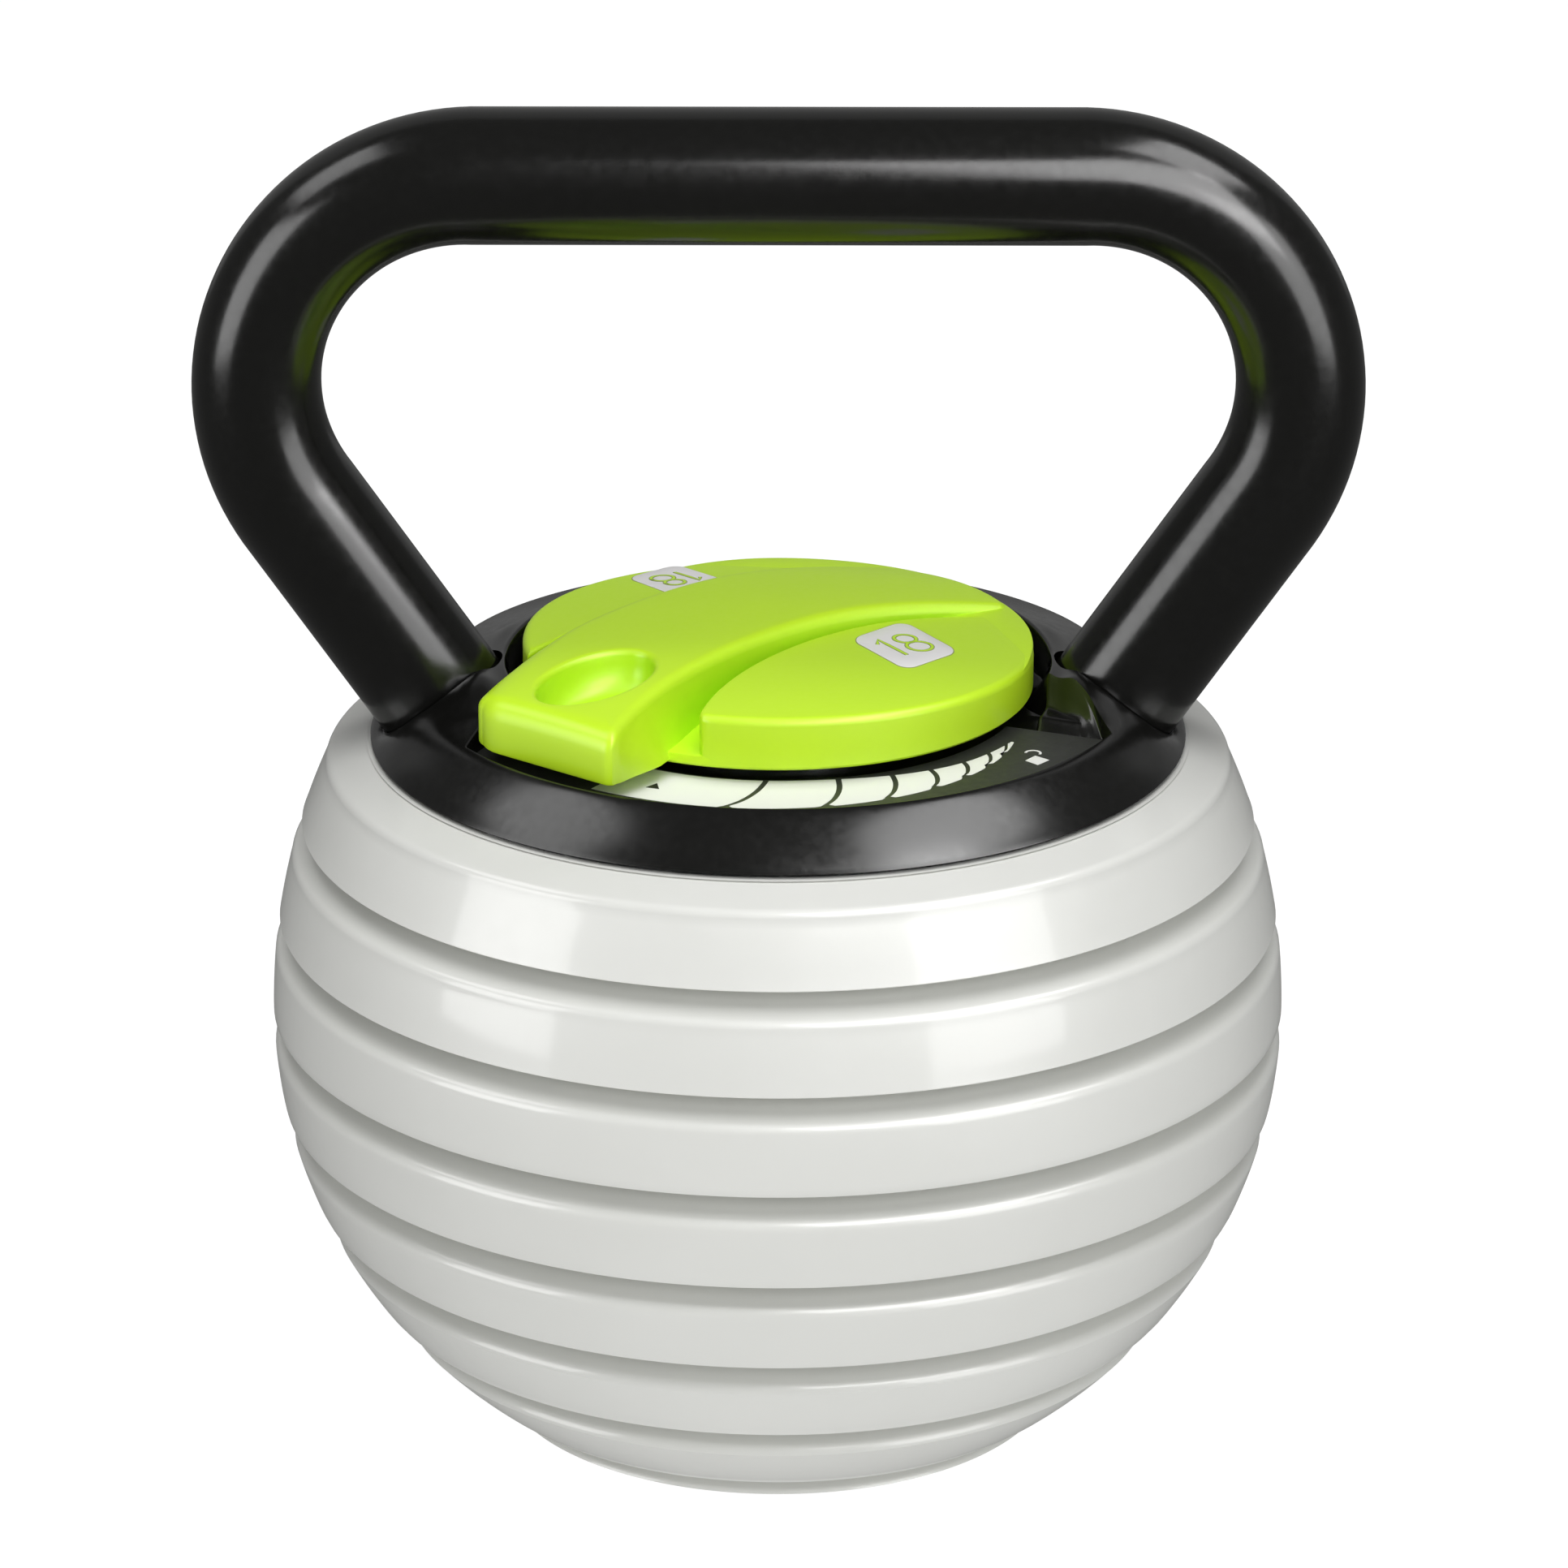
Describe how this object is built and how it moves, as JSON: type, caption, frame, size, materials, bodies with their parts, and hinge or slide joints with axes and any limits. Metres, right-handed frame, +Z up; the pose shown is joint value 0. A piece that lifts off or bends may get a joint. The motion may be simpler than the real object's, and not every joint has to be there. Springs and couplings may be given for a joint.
{
  "type": "adjustable kettlebell",
  "caption": "Adjustable kettlebell: ribbed ball of stacked plates under a wide tube handle, with a weight-selecting dial on top.",
  "frame": {"origin": "middle of the foot pad's underside, on the floor", "axes": "+Z up along the dial's spindle, +X along the grip, -Y towards the side with the dial's scale"},
  "size_m": [0.238, 0.2108, 0.2843],
  "materials": {
    "plate_paint": "cast iron with glossy light grey paint",
    "black_paint": "die casting with satin black paint",
    "tube_paint": "steel tube with satin black powder coat",
    "green_plastic": "moulded lime green ABS, satin",
    "scale_print": "printed plastic plate, white fields on dark grey",
    "steel": "zinc-plated or bright turned steel",
    "brass": "sintered bronze",
    "rubber": "matte black rubber"
  },
  "bodies": {
    "body": {"plate_1": "plate_paint", "plate_2": "plate_paint", "plate_3": "plate_paint", "plate_4": "plate_paint", "plate_5": "plate_paint", "plate_6": "plate_paint", "plate_7": "plate_paint", "base_plate": "plate_paint", "handle": "tube_paint", "top_housing": "black_paint", "scale_ring": "scale_print", "foot_pad": "rubber", "spindle_bush": "brass", "plate_screw_1": "steel", "plate_screw_2": "steel", "plate_screw_3": "steel", "housing_screw_1": "steel", "housing_screw_2": "steel", "housing_screw_3": "steel", "housing_screw_4": "steel", "detent_spring_screw": "steel", "chassis_plate": "steel", "handle_slug_left": "steel", "handle_slug_right": "steel", "handle_bolt_left": "steel", "handle_bolt_right": "steel", "bolt_washer_left": "steel", "bolt_washer_right": "steel", "thrust_washer": "steel", "detent_spring": "steel"},
    "dial": {"dial_knob": "green_plastic", "weight_badge_1": "scale_print", "weight_badge_2": "scale_print", "spindle": "steel", "detent_wheel": "steel", "retaining_ring": "steel", "dial_screw_1": "steel", "dial_screw_2": "steel", "dial_screw_3": "steel"}
  },
  "joints": [
    {"name": "dial_turn", "type": "hinge", "parent": "body", "child": "dial", "pos_m": [0, 0, 0.1623], "axis": [0, 0, 1], "range_deg": [0, 73.5]}
  ]
}
